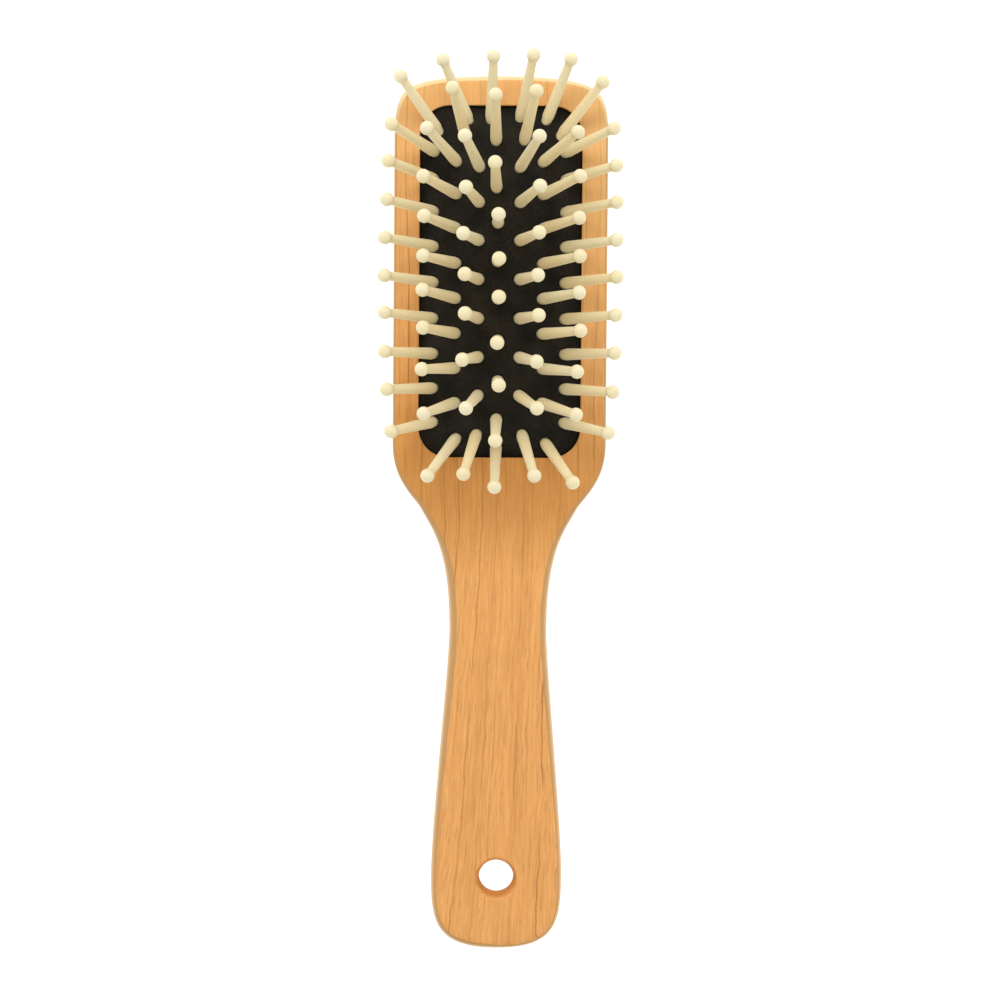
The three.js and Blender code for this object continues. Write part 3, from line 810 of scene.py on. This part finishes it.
def wood_material():
    n = Nodes("beech_wood")
    place = n.place_in_mm()
    x, y, z = n.separate(place)
    # the grain runs along the board and slants a little on the handle, more on the left than on the right
    slant = n.math("SUBTRACT", 0.04, n.math("MULTIPLY", x, 0.0025))
    below = n.math("MAXIMUM", n.math("SUBTRACT", -62.0, y), 0.0)
    across = n.math("ADD", x, n.math("MULTIPLY", below, slant))
    # the rings lie at a slope, so they come out on the board's sides as long lines
    across = n.math("ADD", across, n.math("MULTIPLY", n.math("SUBTRACT", z, THICKNESS), RING_SLOPE))
    # it also wanders sideways in long bends and small kinks
    bends = n.noise(n.mapping(place, (0.035, 0.018, 0.03)), detail=1.0)
    kinks = n.noise(n.mapping(place, (0.3, 0.16, 0.3)), detail=3.0, roughness=0.6)
    across = n.math("ADD", across, n.math("MULTIPLY", bends, 6.0))
    across = n.math("ADD", across, n.math("MULTIPLY", kinks, n.ramp(y, -70.0, -30.0, 1.1, 0.5)))
    grain = n.combine(across, y, z)

    bands = n.noise(n.mapping(grain, (0.16, 0.012, 0.12)), detail=2.0)
    fibres = n.noise(n.mapping(grain, (1.3, 0.05, 1.1)), detail=3.0, roughness=0.65)
    fine = n.noise(n.mapping(grain, (3.2, 0.13, 2.6)), detail=2.0, roughness=0.6)
    tone = n.math("SUBTRACT", bands, 0.5)
    tone = n.math("ADD", tone, n.math("MULTIPLY", n.math("SUBTRACT", fibres, 0.5), 1.3))
    tone = n.math("ADD", tone, n.math("MULTIPLY", n.math("SUBTRACT", fine, 0.5), 1.5))
    tone = n.math("ADD", tone, 0.3, clamp=True)
    body = n.mix(tone, WOOD_LIGHT, WOOD_DEEP)
    flecks = strongest(n, across, y, FLECKS)
    body = n.mix(flecks, body, WOOD_FLECK)
    lines = strongest(n, across, y, GROWTH_LINES)
    body = n.mix(lines, body, WOOD_LINE)
    # painted shadow: the wood is painted darker between the cushion and the neck, where the pins and the
    # cushion shade it
    painted_shadow = n.math("MULTIPLY", n.ramp(y, -80.0, -50.0), n.ramp(y, -50.0, -10.0, 1.0, 0.0))
    body = n.mix(n.math("MULTIPLY", painted_shadow, 0.45), body, WOOD_SHADE)
    # painted light: paler towards the toe and on the right of the head
    painted_light = n.math("MULTIPLY", n.ramp(x, 5.0, 25.0), n.ramp(y, -60.0, -20.0, 0.0, 0.25))
    body = n.mix(n.math("ADD", n.ramp(y, -40.0, 60.0, 0.0, 0.5), painted_light), body, WOOD_HEAD_LIT)

    # painted shade: the wall of the hanging hole is painted darker at its throat
    from_hole = n.math("POWER", n.math("ADD", n.square(x), n.square(n.math("SUBTRACT", y, HOLE_Y))), 0.5)
    throat_shade = n.ramp(from_hole, HOLE_RADIUS + 0.1, HOLE_RADIUS + 0.7, 1.0, 0.0)
    body = n.mix(n.math("MULTIPLY", throat_shade, 0.6), body, WOOD_BORE_SHADE)

    # the rounded edges carry painted light and shade: a painted highlight at the toe, painted shade elsewhere
    # with a paler painted reflection at their outer side, and a painted shadow line inside them
    edge = n.attribute("edge")
    depth = n.math("SUBTRACT", edge, n.ramp(y, -165.0, -85.0, 0.4, 0.12))
    depth = n.math("SUBTRACT", depth, n.ramp(x, -3.0, 3.0, 0.0, 0.16))
    handle_edge_light_and_shade = n.mix(n.ramp(edge, 0.66, 0.9), EDGE_HANDLE_SHADE, EDGE_RIM_REFLECTION)
    # a painted shadow line just inside the edge, strongest at the heel
    line = n.math("MULTIPLY", n.ramp(depth, 0.1, 0.22, 1.0, 0.0), n.ramp(y, -162.0, -150.0, 0.6, 0.25))
    handle_edge_light_and_shade = n.mix(line, handle_edge_light_and_shade, EDGE_SHADE)
    edge_light_and_shade = n.mix(n.ramp(y, 34.0, 46.0), handle_edge_light_and_shade, EDGE_HEAD_HIGHLIGHT)
    # the painted edge light and shade stays on the rounded edge; the board's sides are plain wood below it
    near_front = n.ramp(z, 6.8, 9.2, 0.05, 0.9)
    body = n.mix(n.math("MULTIPLY", n.ramp(depth, 0.0, 0.12), near_front), body, edge_light_and_shade)
    n.link(body, n.shader.inputs["Base Color"])

    matt = n.math("MAXIMUM", n.ramp(fibres, 0.3, 0.75, 0.42, 0.6), throat_shade)
    n.link(matt, n.shader.inputs["Roughness"])
    n.shader.inputs["Specular IOR Level"].default_value = 0.35
    relief = n.math("ADD", n.math("MULTIPLY", fine, 0.5), n.math("MULTIPLY", lines, -0.8))
    n.link(n.bump(relief, 0.00005, 0.6), n.shader.inputs["Normal"])
    return n.material


RUBBER = colour(20, 18, 13)
RUBBER_DUSTY = colour(42, 38, 29)


def rubber_material():
    n = Nodes("black_rubber")
    place = n.place_in_mm()
    grain = n.noise(place, scale=2.2, detail=3.0, roughness=0.75)
    cloud = n.noise(place, scale=0.12, detail=2.0)
    dust = n.math("ADD", n.math("MULTIPLY", grain, 0.6), n.math("MULTIPLY", cloud, 0.4))
    n.link(n.mix(n.ramp(dust, 0.4, 0.62), RUBBER, RUBBER_DUSTY), n.shader.inputs["Base Color"])
    n.link(n.ramp(grain, 0.3, 0.7, 0.7, 0.9), n.shader.inputs["Roughness"])
    n.shader.inputs["Specular IOR Level"].default_value = 0.15
    n.link(n.bump(grain, 0.00006, 0.6), n.shader.inputs["Normal"])
    return n.material


PIN_PALE = colour(238, 229, 194)
PIN_DEEP = colour(240, 219, 166)


def pin_material():
    n = Nodes("pale_turned_wood")
    each = n.add("ShaderNodeObjectInfo").outputs["Random"]
    shift = n.combine(n.math("MULTIPLY", each, 37.0), 0.0, n.math("MULTIPLY", each, 91.0))
    place = n.place_in_mm()
    wood = n.vector("ADD", place, shift)
    fibres = n.noise(n.mapping(wood, (1.7, 1.7, 0.09)), detail=3.0, roughness=0.55)
    blotch = n.noise(n.mapping(wood, (0.35, 0.35, 0.12)), detail=1.0)
    tone = n.math("ADD", n.math("MULTIPLY", n.ramp(fibres, 0.3, 0.75), 0.45), n.math("MULTIPLY", blotch, 0.5))
    tone = n.math("ADD", tone, n.math("MULTIPLY", each, 0.4))
    # painted shade: the shafts are painted a little deeper in colour than the balls
    shaft_shade = n.ramp(n.separate(place)[2], 14.8, 16.0, 0.2, 0.0)
    tone = n.math("ADD", n.math("SUBTRACT", tone, 0.3), shaft_shade, clamp=True)
    n.link(n.mix(tone, PIN_PALE, PIN_DEEP), n.shader.inputs["Base Color"])
    n.link(n.ramp(fibres, 0.3, 0.7, 0.42, 0.58), n.shader.inputs["Roughness"])
    n.shader.inputs["Specular IOR Level"].default_value = 0.4
    n.shader.inputs["Sheen Weight"].default_value = 0.3
    n.shader.inputs["Sheen Roughness"].default_value = 0.3
    n.link(n.bump(fibres, 0.00003, 0.5), n.shader.inputs["Normal"])
    return n.material


# ---- Putting it together ----

board = make_board(wood_material())
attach(board, "paddle")
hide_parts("board")

brush_pins = all_pins()
cushion = make_cushion(rubber_material(), brush_pins)
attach(cushion, "paddle")
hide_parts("cushion")
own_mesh(cushion)

shape = pin_mesh(pin_material())
for pin in brush_pins:
    piece = bpy.data.objects.new("turned_" + pin.name, shape)
    bpy.context.scene.collection.objects.link(piece)
    piece.matrix_world = pin.matrix()
    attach(piece, pin.body)
    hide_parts(pin.node)

# ---- Studio ----


def area_light(name, location, size, power):
    light = bpy.data.lights.new(name, "AREA")
    light.shape = "RECTANGLE"
    light.size, light.size_y = size
    light.energy = power
    lamp = bpy.data.objects.new(name, light)
    bpy.context.scene.collection.objects.link(lamp)
    lamp.location = location
    lamp.rotation_euler = (Vector(LIGHTS_LOOK_AT) - Vector(location)).to_track_quat("-Z", "Y").to_euler()


def white_stage(name, points, faces):
    """Part of the white surroundings, which glow so that no shadow shows on them."""
    mesh = bpy.data.meshes.new(name)
    mesh.from_pydata(points, [], faces)
    nodes = Nodes(name + "_white")
    nodes.shader.inputs["Base Color"].default_value = (0.3, 0.3, 0.3, 1)
    nodes.shader.inputs["Roughness"].default_value = 0.9
    nodes.shader.inputs["Emission Color"].default_value = (1, 1, 1, 1)
    nodes.shader.inputs["Emission Strength"].default_value = 1.0
    mesh.materials.append(nodes.material)
    stage = bpy.data.objects.new(name, mesh)
    bpy.context.scene.collection.objects.link(stage)


floor_corners = [(-1, -1), (1, -1), (1, 1), (-1, 1)]
floor_points = [(x * FLOOR_HALF, y * FLOOR_HALF, FLOOR_Z) for x, y in floor_corners]
white_stage("studio_floor", floor_points, [(0, 1, 2, 3)])
wall_points = []
for x, y in circle(WALL_RADIUS, 0, WALL_SIDES):
    wall_points += [(x, y, FLOOR_Z), (x, y, WALL_TOP)]
wall_faces = []
for i in range(WALL_SIDES):
    low, following = 2 * i, 2 * ((i + 1) % WALL_SIDES)
    wall_faces.append((low, low + 1, following + 1, following))
white_stage("studio_wall", wall_points, wall_faces)

area_light("key_light", location=(-0.2, 0.87, 1.0), size=(1.2, 0.6), power=9.6)
area_light("fill_light", location=(0.5, -0.5, 1.0), size=(1.0, 1.0), power=2.5)

world = bpy.data.worlds.new("studio")
world.use_nodes = True
background = world.node_tree.nodes["Background"]
background.inputs["Color"].default_value = (1, 1, 1, 1)
background.inputs["Strength"].default_value = AMBIENT
bpy.context.scene.world = world

# ---- Camera ----

position = Vector(CAMERA_AT) * MM
forward = (Vector(CAMERA_LOOKS_AT) * MM - position).normalized()
up = Vector((-math.sin(CAMERA_ROLL), math.cos(CAMERA_ROLL), 0))
right = forward.cross(up).normalized()
up = right.cross(forward)
camera_data = bpy.data.cameras.new("camera")
camera_data.lens = CAMERA_LENS
camera_data.sensor_width = SENSOR_WIDTH
camera_data.clip_start = NEAR_CLIP
camera = bpy.data.objects.new("camera", camera_data)
bpy.context.scene.collection.objects.link(camera)
camera.matrix_world = Matrix.Translation(position) @ Matrix((right, up, -forward)).transposed().to_4x4()
bpy.context.scene.camera = camera
bpy.context.scene.view_settings.view_transform = "Standard"
